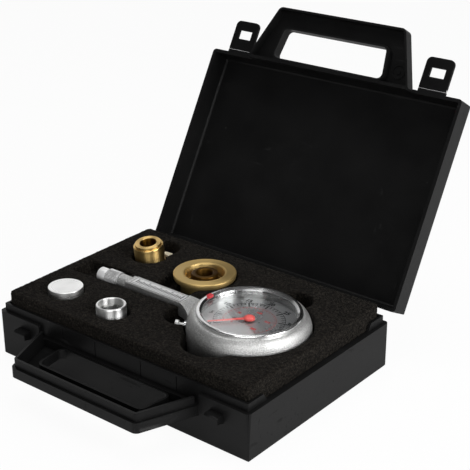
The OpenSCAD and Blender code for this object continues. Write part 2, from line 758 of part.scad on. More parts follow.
module gauge_body() {
    duct_x = -(cavity_r + 3.4);
    duct_z = floor_t + 6;
    color("#b9bbbd") in_gauge() difference() {
        union() {
            rotate_extrude($fn = 96) body_section();
            intersection() {
                linear_extrude(gauge_h) neck_outline();
                translate([0, arm_w, arm_z]) rotate([90, 0, 0]) linear_extrude(body_r) neck_side();
            }
            translate([-neck_end + 0.5, 0, arm_z]) rotate([90, 0, -90]) linear_extrude(bar_l + 1.5) arm_section();
            along_arm(bar_end, collar_end, collar_r);
        }
        translate([0, 0, floor_t]) cylinder(r = cavity_r, h = gauge_h);
        along_arm(cavity_r + 2, collar_end + 1, air_r);
        along_arm(collar_end - 5, collar_end + 1, stem_r + seat_fit);
        translate([duct_x, 0, duct_z]) cylinder(r = 1, h = arm_z - duct_z);
        translate([duct_x, 0, duct_z]) rotate([0, 90, 0]) cylinder(r = 1, h = 5);
        along_button(chamber_end, body_r + 5, chamber_r);
        translate([-cavity_r + 4, 0, -1]) cylinder(r = 1.5 + seat_fit, h = floor_t + 2);
        translate([socket_front - 3, 0, -1]) cylinder(r = 1.5 + seat_fit, h = floor_t + 2);
    }
}

module socket_block() {
    color("#b58b3c") in_gauge() difference() {
        intersection() {
            block([-cavity_r, -6.5, floor_t], [socket_front, 6.5, plate_z]);
            cylinder(r = cavity_r - 0.1, h = gauge_h);
        }
        translate([-cavity_r - 1, 0, tube_z]) rotate([0, 90, -28]) cylinder(r = 1, h = cavity_r - tube_r + 1);
        translate([0, 0, tube_z]) rotate(tube_start - 0.5) rotate_extrude(angle = 12) tube_section(seat_fit);
        for (x = [-cavity_r + 4, socket_front - 3])
            translate([x, 0, floor_t - 1]) cylinder(r = 1.5 + seat_fit, h = 4.5);
        translate([sector_xy.x, sector_xy.y, plate_z - 1]) cylinder(r = arbor_r + 0.5, h = 2);
    }
}

module socket_screws() {
    color("silver") in_gauge() for (x = [-cavity_r + 4, socket_front - 3]) translate([x, 0, 0.4])
        cylinder(r = 1.5, h = floor_t + 2.8);
}

module tube_section(grow) {
    h = tube_h / 2 + grow;
    w = tube_w / 2 + grow;
    translate([tube_r, 0]) polygon(concat(arc([0, h - w], w, 0, 180), arc([0, w - h], w, 180, 360)));
}

module bourdon_tube() {
    color("#a9803a") in_gauge() translate([0, 0, tube_z]) rotate(tube_start)
        rotate_extrude(angle = 360 + tip_bearing - 4 - tube_start) difference() {
            tube_section(0);
            tube_section(-0.6);
        }
}

module bourdon_tip() {
    color("#b58b3c") in_gauge() {
        translate([0, 0, tube_z]) rotate(tip_bearing - 4)
            rotate_extrude(angle = 8) tube_section(0);
        translate([tip_at_xy.x, tip_at_xy.y, floor_t + 2 + tube_h])
            cylinder(r = 1.2, h = link_z + link_t + 0.3 - floor_t - 2 - tube_h);
    }
}

// Outline of a movement plate round its pillars
module plate_outline() {
    x0 = -axis_gap - 4.2;
    difference() {
        polygon(rounded([[x0 - 2.6, -7.4], [x0 + 8, -7.4], [6, -6], [14, -3], [14, 3], [6, 6], [x0 + 8, 7.4],
            [x0 - 2.6, 7.4]], [2, 4, 4, 2.5, 2.5, 4, 4, 2]));
        circle(r = arbor_r + run_fit);
        translate(sector_xy) circle(r = arbor_r + run_fit);
    }
}

module movement_plate_lower() {
    color("#b58b3c") in_gauge() translate([0, 0, plate_z]) linear_extrude(plate_t) plate_outline();
}

module movement_plate_upper() {
    color("#b58b3c") in_gauge() translate([0, 0, upper_z]) linear_extrude(plate_t) difference() {
        plate_outline();
        for (p = pillar_xy) translate(p) circle(r = 1 + seat_fit);
    }
}

module movement_pillars() {
    color("#b58b3c") in_gauge() for (p = pillar_xy) translate([p.x, p.y, plate_z + plate_t]) difference() {
        cylinder(r = pillar_r, h = plate_gap);
        translate([0, 0, plate_gap - 3]) cylinder(r = 1 + seat_fit, h = 4);
    }
}

module movement_screws() {
    color("silver") in_gauge() for (p = pillar_xy) translate([p.x, p.y, upper_z]) difference() {
        union() {
            translate([0, 0, -2.5]) cylinder(r = 1, h = plate_t + 3);
            translate([0, 0, plate_t]) cylinder(r = 1.7, h = 0.8);
        }
        translate([-2, -0.25, plate_t + 0.4]) cube([4, 0.5, 1]);
    }
}

module hairspring() {
    turns = 3;
    inner = arbor_r + 0.5;
    outer = pinion_r + 2.6;
    steps = 24 * turns;
    path = [for (k = [0 : steps]) [inner + (outer - inner) * k / steps, 360 * turns * k / steps]];
    z = upper_z - 0.9;
    color("#9aa0a6") in_gauge() {
        translate([0, 0, z]) linear_extrude(0.6)
            polygon(concat([for (p = path) (p[0] + 0.12) * [cos(p[1]), sin(p[1])]],
                [for (k = [steps : -1 : 0]) (path[k][0] - 0.12) * [cos(path[k][1]), sin(path[k][1])]]));
        translate([outer, 0, z]) cylinder(r = 0.7, h = 0.9);
    }
}

module sector_gear() {
    step = 360 / sector_n;
    first = -ceil(sector_turn / step) - 2;
    teeth = [for (k = [first : 1]) each tooth(sector_n, (k + 0.5) * step)];
    pin = crank_r * [cos(crank_at), sin(crank_at)];
    color("#c09a4a") in_gauge() translate([sector_xy.x, sector_xy.y, gear_z]) {
        linear_extrude(gear_t) difference() {
            union() {
                polygon(concat([[0, 0]], teeth));
                circle(r = 3);
                translate(pin) circle(r = 2);
            }
            circle(r = arbor_r + seat_fit);
        }
        translate([pin.x, pin.y, gear_t / 2]) cylinder(r = crank_pin_r, h = gear_t / 2 + 0.3 + link_t + 0.3);
    }
}

module sector_arbor() {
    color("silver") in_gauge() translate([sector_xy.x, sector_xy.y, plate_z + 0.2])
        cylinder(r = arbor_r, h = upper_z - plate_z + plate_t - 0.4);
}

// The link's eyes are slots, which take up the tube tip's own travel
module connecting_link() {
    eye = crank_pin_r + 0.3;
    post = 1.5;
    l = norm(tip_at_xy - crank_xy);
    color("#c8ccd0") in_gauge() translate([crank_xy.x, crank_xy.y, link_z]) rotate(link_bearing)
        linear_extrude(link_t) difference() {
            polygon(rounded([[-2.2, -2.4 - crank_rise], [l + 2.8, -2.6], [l + 2.8, 2.6], [-2.2, 2.4]],
                [1.5, 1.5, 1.5, 1.5]));
            polygon(rounded([[-eye, -eye - crank_rise], [eye, -eye - crank_rise], [eye, eye], [-eye, eye]],
                [0.8, 0.8, 0.8, 0.8]));
            polygon(rounded([[l - link_travel - post, -post], [l + post, -post], [l + post, post],
                [l - link_travel - post, post]], [1.2, 1.2, 1.2, 1.2]));
        }
}

module pinion_arbor() {
    color("silver") in_gauge() {
        translate([0, 0, gear_z - 0.3]) linear_extrude(gear_t + 0.6)
            polygon([for (k = [0 : pinion_n - 1]) each tooth(pinion_n, k * 360 / pinion_n)]);
        translate([0, 0, plate_z + 0.2]) cylinder(r = arbor_r, h = dial_z + dial_t + 2.4 - plate_z);
    }
}

module dial_plate() {
    color("#c6c8ca") in_gauge() translate([0, 0, dial_z]) difference() {
        cylinder(r = dial_seat_r - 0.2, h = dial_t, $fn = 96);
        translate([0, 0, -1]) cylinder(r = arbor_r + 1, h = dial_t + 2);
    }
}

module reflector_ring() {
    z = dial_z + dial_t;
    color("#d9dbdd") in_gauge() translate([0, 0, z]) difference() {
        cylinder(r = dial_seat_r - 0.2, h = lens_z - z, $fn = 96);
        translate([0, 0, -1]) cylinder(r = dial_seat_r - 1.2, h = lens_z - z + 2, $fn = 96);
    }
}

// Needle and a domed hub pressed on the arbor
module pointer() {
    z = dial_z + dial_t + 1;
    color("#c8201e") in_gauge() translate([0, 0, z]) rotate(pointer_at) difference() {
        union() {
            translate([0, 0, 0.4]) linear_extrude(0.6) polygon([[0, -1.3], [pointer_l, -0.3], [pointer_l, 0.3],
                [0, 1.3]]);
            rotate_extrude() polygon(concat([[0, 0], [hub_r, 0], [hub_r, 0.8]],
                [for (t = [15 : 15 : 90]) [hub_r * cos(t), 0.8 + 1.7 * sin(t)]]));
        }
        translate([0, 0, -1]) cylinder(r = arbor_r + seat_fit, h = 1 + 1.6);
    }
}

module lens_gasket() {
    color("#1c1c1c") in_gauge() translate([0, 0, lens_seat_z]) difference() {
        cylinder(r = lens_r, h = gasket_t, $fn = 96);
        translate([0, 0, -1]) cylinder(r = dial_seat_r, h = gasket_t + 2, $fn = 96);
    }
}

module lens() {
    color([0.85, 0.9, 0.95, 0.35]) in_gauge() translate([0, 0, lens_z]) cylinder(r = lens_r, h = lens_t, $fn = 96);
}

// Bezel with a rounded top and a small notch for the seal
module bezel_ring() {
    top = gauge_h;
    inner = bezel_r - bezel_w;
    lens_top = lens_z + lens_t;
    color("#d5d7d9") in_gauge() difference() {
        rotate_extrude($fn = 96) polygon(concat([[bezel_r, bezel_seat_z]],
            arc([bezel_r - 1.2, top - 1.2], 1.2, 0, 90, 6), [[inner + 1.4, top], [inner, top - 1.2],
            [inner, lens_top], [lens_r + 0.1, lens_top], [lens_r + 0.1, bezel_seat_z]]));
        rotate(181) translate([inner - 1, -2.4, top - 0.8]) cube([bezel_w + 2, 4.8, 2]);
    }
}

module bezel_seal() {
    inner = bezel_r - bezel_w;
    color("#c8201e") in_gauge() rotate(181) translate([inner - 0.9, -2.4, gauge_h - 0.8])
        linear_extrude(1.5) polygon(rounded([[0, 0], [bezel_w - 0.4, 0], [bezel_w - 0.4, 4.8], [0, 4.8]],
            [1.2, 1.2, 1.2, 1.2]));
}

module label_plate() {
    color("#d8dadb") in_gauge() translate([-bar_end + bar_l / 2 + 2, (arm_ease - slant_w) / 2, arm_z + arm_h / 2])
        linear_extrude(label_t) polygon(box(bar_l, arm_w - arm_ease - slant_w - 0.4, 0.8));
}

module release_bush() {
    color("#c9cbcd") in_gauge() difference() {
        along_button(bush_at, bush_end, chamber_r - seat_fit);
        along_button(bush_at - 1, bush_end + 1, button_stem_r + run_fit);
    }
}

module release_button() {
    color("#e2e4e5") in_gauge() {
        along_button(spring_end - 1, head_at + 0.5, button_stem_r);
        along_button(head_at, head_end, button_r);
        along_button(spring_end, spring_end + 0.5, chamber_r - 0.4);
    }
}

// Points of one ring of wire, n sides, at angle a and height h of a helix
function wire_ring(a, h, r, n) = [for (k = [0 : n - 1])
    let (c = r + spring_wire / 2 * cos(360 * k / n))
    [c * cos(a), c * sin(a), h + spring_wire / 2 * sin(360 * k / n)]];

module release_spring() {
    n = 6;
    rings = 8 * spring_turns;
    mean_r = (button_stem_r + chamber_r) / 2;
    rise = spring_l - spring_wire - 0.1;
    points = [for (k = [0 : rings]) each wire_ring(360 * spring_turns * k / rings,
        spring_wire / 2 + 0.05 + rise * k / rings, mean_r, n)];
    sides = [for (k = [0 : rings - 1], j = [0 : n - 1], f = [0, 1])
        let (a = k * n + j, b = k * n + (j + 1) % n) f == 0 ? [a, a + n, b] : [b, a + n, b + n]];
    ends = [for (j = [1 : n - 2], f = [0, 1]) let (e = rings * n) f == 0 ? [0, j, j + 1] : [e, e + j + 1, e + j]];
    color("#aeb2b6") in_gauge() rotate(button_at) translate([chamber_end, 0, button_z]) rotate([0, 90, 0])
        polyhedron(points, concat(sides, ends));
}

module connector_tip() {
    color("#e6e8ea") in_gauge() difference() {
        union() {
            along_arm(collar_end - 4.5, tip_at + 1, stem_r);
            along_arm(tip_at, tip_end - 0.8, tip_r);
            along_arm(tip_end - 1, tip_end, tip_r - 0.8);
        }
        along_arm(collar_end - 6, tip_end + 1, air_r);
        along_arm(tip_end - 4, tip_end + 1, air_r + 1.5);
    }
}

module union_nut() {
    color("#a8abae") in_gauge() difference() {
        union() {
            translate([-nut_end + 0.6, 0, arm_z]) rotate([0, 90, 0]) linear_extrude(nut_l - 1.2)
                polygon([for (k = [0 : 2 * nut_ridges - 1]) (nut_r - 0.35 * (k % 2))
                    * [cos(180 * k / nut_ridges), sin(180 * k / nut_ridges)]]);
            along_arm(nut_at, nut_end, nut_r - 0.4);
        }
        along_arm(nut_at - 1, nut_end + 1, stem_r + run_fit);
    }
}

// Turned adaptor with a wide flange, a recess and a bored boss in it
module flange_adaptor() {
    recess_z = flange_h - recess_d;
    boss_z = flange_h - boss_drop;
    color("#b8923f") translate([flange_xy.x, flange_xy.y, flange_z]) rotate_extrude($fn = 96)
        polygon(concat([[flange_bore_r, 0], [flange_body_r - 3, 0], [flange_body_r, 3],
            [flange_body_r, flange_h - flange_t], [flange_r - 0.5, flange_h - flange_t]],
            arc([flange_r - 0.8, flange_h - 0.8], 0.8, 0, 90, 4),
            [[recess_r + 0.8, flange_h], [recess_r, flange_h - 0.8], [recess_r, recess_z], [boss_r, recess_z],
                [boss_r, boss_z - 0.6], [boss_r - 0.6, boss_z], [flange_bore_r + 0.8, boss_z],
                [flange_bore_r, boss_z - 0.8]]));
}

module plug_cap() {
    color("#d3d4d4") translate([plug_xy.x, plug_xy.y, plug_z]) rotate_extrude()
        polygon(concat([[0, 0], [plug_r - 1, 0], [plug_r, 1]], arc([plug_r - 0.3, plug_h - 0.3], 0.3, 0, 90, 4),
            [[0, plug_h]]));
}

// Bush with a stepped bore and four notches in its step
module ring_bush() {
    step_z = bush_h - 4.5;
    color("#cfd1d2") translate([bush_xy.x, bush_xy.y, bush_z]) difference() {
        rotate_extrude() polygon(concat([[bush_bore_r, 0], [bush_r - 1, 0], [bush_r, 1]],
            arc([bush_r - 0.7, bush_h - 0.7], 0.7, 0, 90, 4),
            [[bush_mouth_r + 0.5, bush_h], [bush_mouth_r, bush_h - 0.5], [bush_mouth_r, step_z],
                [bush_bore_r, step_z]]));
        for (a = [20 : 90 : 290]) rotate(a) translate([bush_bore_r - 1, -1.5, step_z - 4])
            cube([bush_mouth_r - bush_bore_r + 0.8, 3, 5]);
    }
}

module brass_fitting() {
    color("#c2a04e") translate([fitting_xy.x, fitting_xy.y, fitting_z]) rotate([fitting_lean, 0, 0])
        rotate_extrude() polygon(concat([[fitting_bore_r, 0], [fitting_r - 0.6, 0], [fitting_r, 0.6]],
            arc([fitting_r - 0.6, fitting_h - fitting_top_h - 0.6], 0.6, 0, 90, 4),
            [[fitting_top_r, fitting_h - fitting_top_h], [fitting_top_r, fitting_h - 0.3],
                [fitting_top_r - 0.3, fitting_h], [fitting_bore_r + 0.5, fitting_h],
                [fitting_bore_r, fitting_h - 0.5]]));
}

module fibre_washer() {
    color("#d9c9a8") translate([washer_xy.x, washer_xy.y, fitting_floor]) difference() {
        cylinder(r = washer_r, h = washer_t);
        translate([0, 0, -1]) cylinder(r = washer_hole_r, h = washer_t + 2);
    }
}

base_shell();
lid_shell();
hinge_pins();
latch_left();
latch_right();
foam_pad();
foam_insert();
gauge_body();
socket_block();
socket_screws();
bourdon_tube();
bourdon_tip();
movement_plate_lower();
movement_plate_upper();
movement_pillars();
movement_screws();
hairspring();
sector_gear();
sector_arbor();
connecting_link();
pinion_arbor();
dial_plate();
reflector_ring();
pointer();
lens_gasket();
lens();
bezel_ring();
bezel_seal();
label_plate();
release_bush();
release_spring();
release_button();
connector_tip();
union_nut();
flange_adaptor();
plug_cap();
ring_bush();
brass_fitting();
fibre_washer();
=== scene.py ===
# %% [markdown]
# A pressure tester kit in its open case. The CAD model gives every solid its
# place and its joints, so this lesson adds only what a drawing leaves out:
# finishes, printed scales, soft foam, a studio and a camera. The frame is loaded
# first.

# %% Load the frame
import json
import math

import bmesh
import bpy
import numpy as np
from mathutils import Matrix, Vector, noise


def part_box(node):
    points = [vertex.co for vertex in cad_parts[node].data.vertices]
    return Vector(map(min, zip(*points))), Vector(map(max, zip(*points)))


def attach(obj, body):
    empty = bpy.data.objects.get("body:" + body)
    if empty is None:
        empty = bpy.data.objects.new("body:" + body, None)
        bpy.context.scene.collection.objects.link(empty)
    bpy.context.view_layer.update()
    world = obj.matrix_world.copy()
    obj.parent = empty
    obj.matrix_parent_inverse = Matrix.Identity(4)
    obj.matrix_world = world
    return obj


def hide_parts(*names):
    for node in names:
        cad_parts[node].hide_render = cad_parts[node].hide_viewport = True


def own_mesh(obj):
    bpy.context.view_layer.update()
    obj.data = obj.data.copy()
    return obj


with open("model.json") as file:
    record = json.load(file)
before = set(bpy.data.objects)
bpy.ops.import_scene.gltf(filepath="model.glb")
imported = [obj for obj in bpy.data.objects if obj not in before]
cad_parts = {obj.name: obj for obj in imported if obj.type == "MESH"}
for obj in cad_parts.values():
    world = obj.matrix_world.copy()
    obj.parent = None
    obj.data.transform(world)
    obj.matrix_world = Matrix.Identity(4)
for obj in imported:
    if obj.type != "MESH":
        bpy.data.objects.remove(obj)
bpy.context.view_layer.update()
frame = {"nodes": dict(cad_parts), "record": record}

nodes = frame["nodes"]
joints = {joint["name"]: joint for joint in frame["record"]["behaviour"]["joints"]}
MM = 0.001

# %% [markdown]
# Its place and angles come from fitting the straight edges of the case. A long
# lens keeps the perspective gentle, as a product picture has it.

# %% Camera
EYE = Vector((0.52105, -0.58880, 0.44051))
AZIMUTH, ELEVATION, ROLL = 39.24, 23.49, -0.33
FOCAL_LENGTH, SENSOR = 94.145, 36.0

camera_data = bpy.data.cameras.new("camera")
camera_data.sensor_width = SENSOR
camera_data.lens = FOCAL_LENGTH
camera = bpy.data.objects.new("camera", camera_data)
bpy.context.scene.collection.objects.link(camera)
camera.matrix_world = (
    Matrix.Translation(EYE)
    @ Matrix.Rotation(math.radians(AZIMUTH), 4, "Z")
    @ Matrix.Rotation(math.radians(90 - ELEVATION), 4, "X")
    @ Matrix.Rotation(math.radians(ROLL), 4, "Z")
)
bpy.context.scene.camera = camera
bpy.context.scene.view_settings.view_transform = "Standard"
print("camera at", tuple(EYE))

# %% [markdown]
# Materials are node trees, and writing each link by hand is slow to read. These
# small helpers place one node each and hand back the socket that carries its
# result, so that a finish below reads as a short list of what it is made of.


# %% Node helpers
def put(tree, socket, value):
    """Links a socket to value, or sets it where value is a plain number or colour."""
    if isinstance(value, bpy.types.NodeSocket):
        tree.links.new(value, socket)
    else:
        socket.default_value = value


def maths(tree, operation, *values):
    node = tree.nodes.new("ShaderNodeMath")
    node.operation = operation
    for socket, value in zip(node.inputs, values):
        put(tree, socket, value)
    return node.outputs[0]


def vector_maths(tree, operation, *values):
    node = tree.nodes.new("ShaderNodeVectorMath")
    node.operation = operation
    for socket, value in zip(node.inputs, values):
        put(tree, socket, value)
    scalar = operation in ("DOT_PRODUCT", "LENGTH", "DISTANCE")
    return node.outputs["Value" if scalar else "Vector"]


def cloud(tree, place, scale, detail=3.0, distortion=0.0):
    """Soft random values between 0 and 1, about 1/scale metres from crest to crest."""
    node = tree.nodes.new("ShaderNodeTexNoise")
    put(tree, node.inputs["Vector"], place)
    put(tree, node.inputs["Scale"], scale)
    node.inputs["Detail"].default_value = detail
    node.inputs["Distortion"].default_value = distortion
    return node.outputs[0]


def spread(tree, value, low, high, to_low=0.0, to_high=1.0):
    node = tree.nodes.new("ShaderNodeMapRange")
    for socket, number in zip(node.inputs, (value, low, high, to_low, to_high)):
        put(tree, socket, number)
    return node.outputs[0]


MIX_SHARE, MIX_FIRST, MIX_SECOND, MIX_RESULT = 0, 6, 7, 2


def blend_colours(tree, share, first, second):
    """A mix of two colours. The node holds sockets for other kinds of value too."""
    node = tree.nodes.new("ShaderNodeMix")
    node.data_type = "RGBA"
    sockets = (MIX_SHARE, share), (MIX_FIRST, first), (MIX_SECOND, second)
    for index, value in sockets:
        put(tree, node.inputs[index], value)
    return node.outputs[MIX_RESULT]


def blend_shaders(tree, share, first, second):
    node = tree.nodes.new("ShaderNodeMixShader")
    for socket, value in zip(node.inputs, (share, first, second)):
        put(tree, socket, value)
    return node.outputs[0]


def shade(colour, share=1.0):
    """A colour with its brightness scaled, and the fourth value that sockets want."""
    return tuple(share * channel for channel in colour) + (1,)


def bump(tree, height, depth, strength=1.0):
    node = tree.nodes.new("ShaderNodeBump")
    node.inputs["Strength"].default_value = strength
    node.inputs["Distance"].default_value = depth
    put(tree, node.inputs["Height"], height)
    return node.outputs["Normal"]


def here(tree):
    """Place on the piece, in metres of the shared frame."""
    return tree.nodes.new("ShaderNodeTexCoord").outputs["Object"]


print("node helpers ready")

# %% [markdown]
# Some effects come back on many surfaces: the fine grain of a mould, scuffs from
# handling, specks of dust, the rings a lathe leaves, the skin of a sand casting,
# and the cells of foam. Each is made once as a node group with named inputs. A
# group only puts out values; the shader that uses them stays in the material.


# %% Node group helper
def new_group(name, inputs, outputs):
    tree = bpy.data.node_groups.new(name, "ShaderNodeTree")
    for label, value in inputs.items():
        kind = "NodeSocketVector" if isinstance(value, tuple) else "NodeSocketFloat"
        socket = tree.interface.new_socket(label, in_out="INPUT", socket_type=kind)
        socket.default_value = value
    for label in outputs:
        tree.interface.new_socket(label, in_out="OUTPUT", socket_type="NodeSocketFloat")
    source = tree.nodes.new("NodeGroupInput").outputs
    sink = tree.nodes.new("NodeGroupOutput").inputs
    return tree, source, sink


def place_group(tree, group, **values):
    node = tree.nodes.new("ShaderNodeGroup")
    node.node_tree = group
    for label, value in values.items():
        put(tree, node.inputs[label], value)
    return node.outputs


print("group helpers ready")

# %% Group: moulded grain
grain_group, source, sink = new_group(
    "moulded_grain", {"Scale": 2500.0}, ("Height", "Tone")
)
place = here(grain_group)
fine = cloud(grain_group, place, source["Scale"], 2.0)
patches = cloud(grain_group, place, 28.0, 4.0)
put(grain_group, sink["Height"], fine)
put(grain_group, sink["Tone"], spread(grain_group, patches, 0.3, 0.7))
print("group", grain_group.name)

# %% Group: scuffs
scuff_group, source, sink = new_group(
    "scuffs", {"Scale": 60.0, "Share": 0.5}, ("Mask",)
)
place = here(scuff_group)
runs = []
for turn, stretch in ((0.5, (1.0, 14.0, 5.0)), (2.1, (12.0, 1.0, 4.0))):
    mapping = scuff_group.nodes.new("ShaderNodeMapping")
    mapping.inputs["Rotation"].default_value = (0.3, 0.2, turn)
    mapping.inputs["Scale"].default_value = stretch
    put(scuff_group, mapping.inputs["Vector"], place)
    lines = cloud(scuff_group, mapping.outputs[0], source["Scale"], 2.0, 0.4)
    runs.append(spread(scuff_group, lines, 0.66, 0.72))
patches = spread(scuff_group, cloud(scuff_group, place, 22.0, 3.0), 0.5, 0.62)
both = maths(scuff_group, "MAXIMUM", *runs)
worn = maths(scuff_group, "MULTIPLY", both, patches)
put(scuff_group, sink["Mask"], maths(scuff_group, "MULTIPLY", worn, source["Share"]))
print("group", scuff_group.name)

# %% Group: dust specks
speck_group, source, sink = new_group(
    "dust_specks", {"Scale": 320.0, "Size": 0.1}, ("Mask",)
)
cells = speck_group.nodes.new("ShaderNodeTexVoronoi")
put(speck_group, cells.inputs["Vector"], here(speck_group))
put(speck_group, cells.inputs["Scale"], source["Scale"])
apart = speck_group.nodes.new("ShaderNodeSeparateColor")
put(speck_group, apart.inputs[0], cells.outputs["Color"])
chosen = spread(speck_group, apart.outputs[0], 0.86, 0.98)
reach = maths(speck_group, "MULTIPLY", chosen, source["Size"])
put(
    speck_group,
    sink["Mask"],
    maths(speck_group, "LESS_THAN", cells.outputs["Distance"], reach),
)
print("group", speck_group.name)

# %% Group: rings left by a lathe
lathe_group, source, sink = new_group(
    "lathe_rings",
    {"Centre": (0.0, 0.0, 0.0), "Axis": (0.0, 0.0, 1.0), "Pitch": 4000.0},
    ("Lines", "Bands", "Radius"),
)
arm = vector_maths(lathe_group, "SUBTRACT", here(lathe_group), source["Centre"])
along = vector_maths(lathe_group, "DOT_PRODUCT", arm, source["Axis"])
across = vector_maths(lathe_group, "CROSS_PRODUCT", arm, source["Axis"])
radius = vector_maths(lathe_group, "LENGTH", across)
put(lathe_group, sink["Radius"], radius)
feed = maths(lathe_group, "ADD", radius, maths(lathe_group, "MULTIPLY", along, 0.8))
for label, share in (("Lines", 1.0), ("Bands", 0.06)):
    rings = lathe_group.nodes.new("ShaderNodeTexNoise")
    rings.noise_dimensions = "1D"
    steps = maths(lathe_group, "MULTIPLY", feed, source["Pitch"])
    put(lathe_group, rings.inputs["W"], maths(lathe_group, "MULTIPLY", steps, share))
    rings.inputs["Scale"].default_value = 1.0
    put(lathe_group, sink[label], rings.outputs[0])
print("group", lathe_group.name)

# %% Group: skin of a casting
cast_group, source, sink = new_group(
    "cast_skin", {"Scale": 900.0}, ("Height", "Tone", "Grit")
)
place = here(cast_group)
sand = cloud(cast_group, place, source["Scale"], 4.0)
pits = cast_group.nodes.new("ShaderNodeTexVoronoi")
put(cast_group, pits.inputs["Vector"], place)
put(cast_group, pits.inputs["Scale"], source["Scale"])
dents = maths(cast_group, "MULTIPLY", pits.outputs["Distance"], 0.5)
put(cast_group, sink["Height"], maths(cast_group, "ADD", sand, dents))
put(cast_group, sink["Grit"], spread(cast_group, sand, 0.36, 0.64))
flow = cloud(cast_group, place, 55.0, 6.0, 0.6)
put(cast_group, sink["Tone"], spread(cast_group, flow, 0.32, 0.68))
print("group", cast_group.name)

# %% Group: cells of foam
cell_group, source, sink = new_group(
    "foam_cells", {"Scale": 1100.0}, ("Height", "Tone")
)
place = here(cell_group)
pores = cell_group.nodes.new("ShaderNodeTexVoronoi")
put(cell_group, pores.inputs["Vector"], place)
put(cell_group, pores.inputs["Scale"], source["Scale"])
walls = spread(cell_group, pores.outputs["Distance"], 0.15, 0.75)
lumps = cloud(cell_group, place, 620.0, 3.0)
put(cell_group, sink["Height"], maths(cell_group, "ADD", walls, lumps))
mottle = maths(cell_group, "MULTIPLY", walls, spread(cell_group, lumps, 0.35, 0.65))
put(cell_group, sink["Tone"], mottle)
print("group", cell_group.name)

# %% [markdown]
# A finish starts from one Principled shader. Values that are the same all over a
# surface are set on the shader itself, and only what changes from place to place
# comes through nodes. A finish is put on CAD pieces through their material slots.


# %% Finish helpers
def new_finish(name, **sockets):
    material = bpy.data.materials.new(name)
    material.use_nodes = True
    shader = material.node_tree.nodes["Principled BSDF"]
    for label, value in sockets.items():
        shader.inputs[label.replace("_", " ")].default_value = value
    return material, material.node_tree, shader


def dress(material, *names):
    for name in names:
        for slot in nodes[name].material_slots:
            slot.material = material
    print(material.name, "on", ", ".join(names))


WELD, SHARP = 0.002 * MM, 40.0


def ease_edges(width, *names):
    """Breaks edges that turn by more than SHARP degrees, so that they catch the light."""
    for name in names:
        weld = nodes[name].modifiers.new("weld", "WELD")
        weld.merge_threshold = WELD
        edge = nodes[name].modifiers.new("edge", "BEVEL")
        edge.width = width
        edge.segments = 2
        edge.limit_method = "ANGLE"
        edge.angle_limit = math.radians(SHARP)
        edge.harden_normals = True
        edge.use_clamp_overlap = True


print("finish helpers ready")

# %% [markdown]
# Many small surfaces need no more than a fine grain: two close colours, two close
# roughnesses and a faint bump, all driven by the same group.


# %% Plain grained finish
def grained_finish(name, scale, colours, rough, depth=0.0, strength=0.5, **sockets):
    material, tree, shader = new_finish(name, **sockets)
    grain = place_group(tree, grain_group, Scale=scale)
    put(tree, shader.inputs["Base Color"], blend_colours(tree, grain["Tone"], *colours))
    put(tree, shader.inputs["Roughness"], spread(tree, grain["Tone"], 0, 1, *rough))
    if depth:
        put(tree, shader.inputs["Normal"], bump(tree, grain["Height"], depth, strength))
    print("finish", name)
    return material


# %% [markdown]
# The case is black polypropylene from a mould with a fine satin texture. On the
# real one the sides pick up a soft sheen, flat faces carry faint scuffs, and a
# few pale specks of dust show. A darker mirror-like plastic would look new and
# false, so roughness follows the grain and the scuffs.

# %% Case plastic
PLASTIC = (0.0042, 0.0042, 0.0043, 1), (0.0064, 0.0064, 0.0065, 1)
PLASTIC_GRAIN = 2600.0

plastic, tree, shader = new_finish("case_plastic", Specular_IOR_Level=0.14)
grain = place_group(tree, grain_group, Scale=PLASTIC_GRAIN)
scuffs = place_group(tree, scuff_group, Scale=46.0, Share=0.5)["Mask"]
specks = place_group(tree, speck_group, Scale=120.0, Size=0.06)["Mask"]
tone = blend_colours(tree, grain["Tone"], *PLASTIC)
tone = blend_colours(tree, scuffs, tone, (0.018, 0.018, 0.018, 1))
tone = blend_colours(tree, specks, tone, (0.05, 0.05, 0.049, 1))
put(tree, shader.inputs["Base Color"], tone)
rough = spread(tree, grain["Tone"], 0.0, 1.0, 0.42, 0.50)
put(tree, shader.inputs["Roughness"], maths(tree, "ADD", rough, scuffs))
put(tree, shader.inputs["Normal"], bump(tree, grain["Height"], 0.05 * MM, 0.5))
dress(plastic, "base_shell", "lid_shell")

# %% [markdown]
# Each latch is the same plastic, but its living hinge has been bent so often that
# the fold has turned pale. The pale line is painted from the distance to the
# fold's own axis, which the joint in the record gives, so it sits on the fold.
# The plastic itself has the same colours and grain as the case.

# %% Latches with a pale fold
FOLD_REACH = 1.0 * MM


def latch_finish(side):
    fold = joints[f"latch_{side}_fold"]
    material, tree, shader = new_finish(
        f"latch_plastic_{side}", Specular_IOR_Level=0.10
    )
    grain = place_group(tree, grain_group, Scale=PLASTIC_GRAIN)
    arm = vector_maths(tree, "SUBTRACT", here(tree), tuple(fold["pos_m"]))
    off = vector_maths(tree, "CROSS_PRODUCT", arm, tuple(fold["axis"]))
    away = vector_maths(tree, "LENGTH", off)
    stress = spread(tree, away, FOLD_REACH, FOLD_REACH * 0.5)
    streaks = spread(tree, cloud(tree, here(tree), 500.0, 4.0), 0.1, 0.4)
    pale = maths(tree, "MULTIPLY", stress, streaks)
    tone = blend_colours(tree, grain["Tone"], *PLASTIC)
    tone = blend_colours(tree, pale, tone, (0.72, 0.72, 0.70, 1))
    put(tree, shader.inputs["Base Color"], tone)
    put(tree, shader.inputs["Roughness"], spread(tree, pale, 0.0, 1.0, 0.42, 0.6))
    put(tree, shader.inputs["Normal"], bump(tree, grain["Height"], 0.05 * MM, 0.5))
    return material


for side in ("left", "right"):
    dress(latch_finish(side), f"latch_{side}")
ease_edges(0.35 * MM, "base_shell", "lid_shell", "latch_left", "latch_right")

